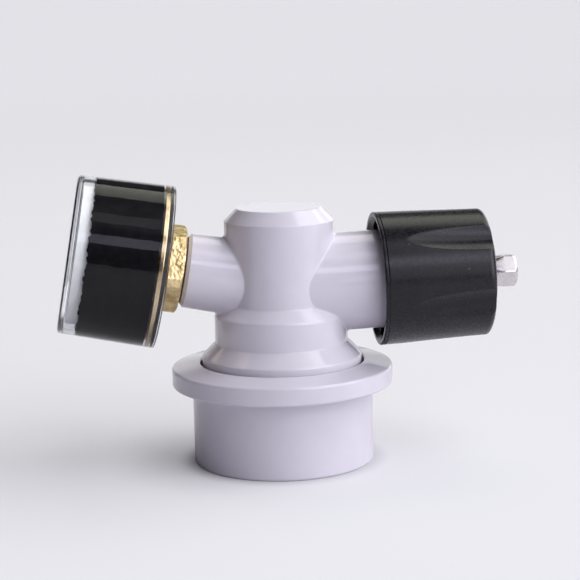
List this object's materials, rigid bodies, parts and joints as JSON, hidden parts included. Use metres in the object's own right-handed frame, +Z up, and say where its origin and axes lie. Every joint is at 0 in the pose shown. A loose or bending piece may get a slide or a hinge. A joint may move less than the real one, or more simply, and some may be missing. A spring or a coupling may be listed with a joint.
{
  "type": "keg gas disconnect with pressure gauge and relief regulator",
  "caption": "Keg gas disconnect with a sliding release collar, an angled pressure gauge and a fluted knob that sets a sprung relief valve with a pull pin.",
  "frame": {"origin": "on the axis of the socket that snaps onto the keg post, level with the foot of the body", "axes": "+Z up along the socket, +X towards the knob, -X towards the gauge"},
  "size_m": [0.0816, 0.039, 0.0519],
  "materials": {
    "grey_plastic": "glossy moulded acetal, pale lavender grey",
    "black_plastic": "satin moulded black",
    "clear_plastic": "clear polycarbonate",
    "band_black": "gloss black sleeve",
    "brass": "machined",
    "gilt_plate": "bright gilt",
    "stainless_steel": "turned",
    "polished_steel": "polished",
    "spring_steel": "drawn wire",
    "seal_rubber": "moulded",
    "dial_white": "matt white enamel",
    "pointer_black": "matt black"
  },
  "bodies": {
    "root": {"main_body": "grey_plastic", "valve_seat": "brass", "poppet_spring": "spring_steel", "collar_spring": "spring_steel", "collar_stop_ring": "spring_steel", "gauge_socket": "brass", "port_seal": "seal_rubber", "gauge_back_plate": "gilt_plate", "gauge_case": "clear_plastic", "case_band": "band_black", "gauge_dial": "dial_white", "dial_screw_1": "stainless_steel", "dial_screw_2": "stainless_steel", "bourdon_tube": "brass", "tube_tip_block": "brass", "movement_rear_plate": "brass", "movement_front_plate": "brass", "movement_pillar_1": "brass", "movement_pillar_2": "brass", "hairspring": "spring_steel", "relief_spring": "spring_steel"},
    "collar": {"release_collar": "grey_plastic"},
    "poppet_body": {"poppet": "stainless_steel", "poppet_seal": "seal_rubber"},
    "vent": {"relief_piston": "black_plastic", "relief_seal": "seal_rubber", "pull_pin": "polished_steel"},
    "adjuster": {"spring_seat": "stainless_steel"},
    "knob_body": {"knob": "black_plastic"},
    "pointer_body": {"pointer": "pointer_black", "pinion": "brass"},
    "sector": {"sector_gear": "brass"},
    "link": {"tip_link": "stainless_steel"},
    "ball_1": {"locking_ball_1": "stainless_steel"},
    "ball_2": {"locking_ball_2": "stainless_steel"},
    "ball_3": {"locking_ball_3": "stainless_steel"},
    "ball_4": {"locking_ball_4": "stainless_steel"},
    "ball_5": {"locking_ball_5": "stainless_steel"},
    "ball_6": {"locking_ball_6": "stainless_steel"}
  },
  "joints": [
    {"name": "collar_lift", "type": "slide", "parent": "root", "child": "collar", "axis": [0, 0, 1], "range_m": [0, 0.0019], "stiffness_N_per_m": 1500, "springref_m": -0.004, "deforming": ["collar_spring"]},
    {"name": "poppet_lift", "type": "slide", "parent": "root", "child": "poppet_body", "axis": [0, 0, 1], "range_m": [0, 0.0025], "stiffness_N_per_m": 300, "springref_m": -0.006, "deforming": ["poppet_spring"]},
    {"name": "vent_pull", "type": "slide", "parent": "root", "child": "vent", "axis": [0.9998, 0, 0.0218], "range_m": [0, 0.003], "stiffness_N_per_m": 800, "springref_m": -0.004, "deforming": ["relief_spring"]},
    {"name": "knob_travel", "type": "slide", "parent": "root", "child": "adjuster", "axis": [-0.9998, 0, -0.0218], "range_m": [-0.003, 0.0015]},
    {"name": "knob_turn", "type": "hinge", "parent": "adjuster", "child": "knob_body", "pos_m": [0.02599, 0, 0.03191], "axis": [-0.9998, 0, -0.0218], "range_deg": [-722, 361]},
    {"name": "pointer_turn", "type": "hinge", "parent": "root", "child": "pointer_body", "pos_m": [-0.02852, 0, 0.03684], "axis": [0.9836, 0, -0.1805], "range_deg": [0, 270.5], "deforming": ["hairspring"]},
    {"name": "sector_swing", "type": "hinge", "parent": "root", "child": "sector", "pos_m": [-0.0299, -0.0044, 0.02934], "axis": [0.9836, 0, -0.1805], "range_deg": [-60, 0], "stiffness_Nm_per_rad": 0.0005, "springref_deg": 11.46},
    {"name": "link_swing", "type": "hinge", "parent": "sector", "child": "link", "pos_m": [-0.03121, -0.0044, 0.02775], "axis": [0.9836, 0, -0.1805], "range_deg": [0, 60.5]},
    {"name": "ball_1_out", "type": "slide", "parent": "root", "child": "ball_1", "axis": [1, 0, 0], "range_m": [0, 0.00066]},
    {"name": "ball_2_out", "type": "slide", "parent": "root", "child": "ball_2", "axis": [0.5, 0.866, 0], "range_m": [0, 0.00066]},
    {"name": "ball_3_out", "type": "slide", "parent": "root", "child": "ball_3", "axis": [-0.5, 0.866, 0], "range_m": [0, 0.00066]},
    {"name": "ball_4_out", "type": "slide", "parent": "root", "child": "ball_4", "axis": [-1, 0, 0], "range_m": [0, 0.00066]},
    {"name": "ball_5_out", "type": "slide", "parent": "root", "child": "ball_5", "axis": [-0.5, -0.866, 0], "range_m": [0, 0.00066]},
    {"name": "ball_6_out", "type": "slide", "parent": "root", "child": "ball_6", "axis": [0.5, -0.866, 0], "range_m": [0, 0.00066]}
  ],
  "couplings": [
    {"joint": "knob_turn", "follows": "knob_travel", "rad_per_m": 4188.8},
    {"joint": "pointer_turn", "follows": "sector_swing", "ratio": -4.5},
    {"joint": "link_swing", "follows": "sector_swing", "ratio": -1},
    {"joint": "ball_1_out", "follows": "collar_lift", "ratio": 0.342},
    {"joint": "ball_2_out", "follows": "collar_lift", "ratio": 0.342},
    {"joint": "ball_3_out", "follows": "collar_lift", "ratio": 0.342},
    {"joint": "ball_4_out", "follows": "collar_lift", "ratio": 0.342},
    {"joint": "ball_5_out", "follows": "collar_lift", "ratio": 0.342},
    {"joint": "ball_6_out", "follows": "collar_lift", "ratio": 0.342}
  ]
}
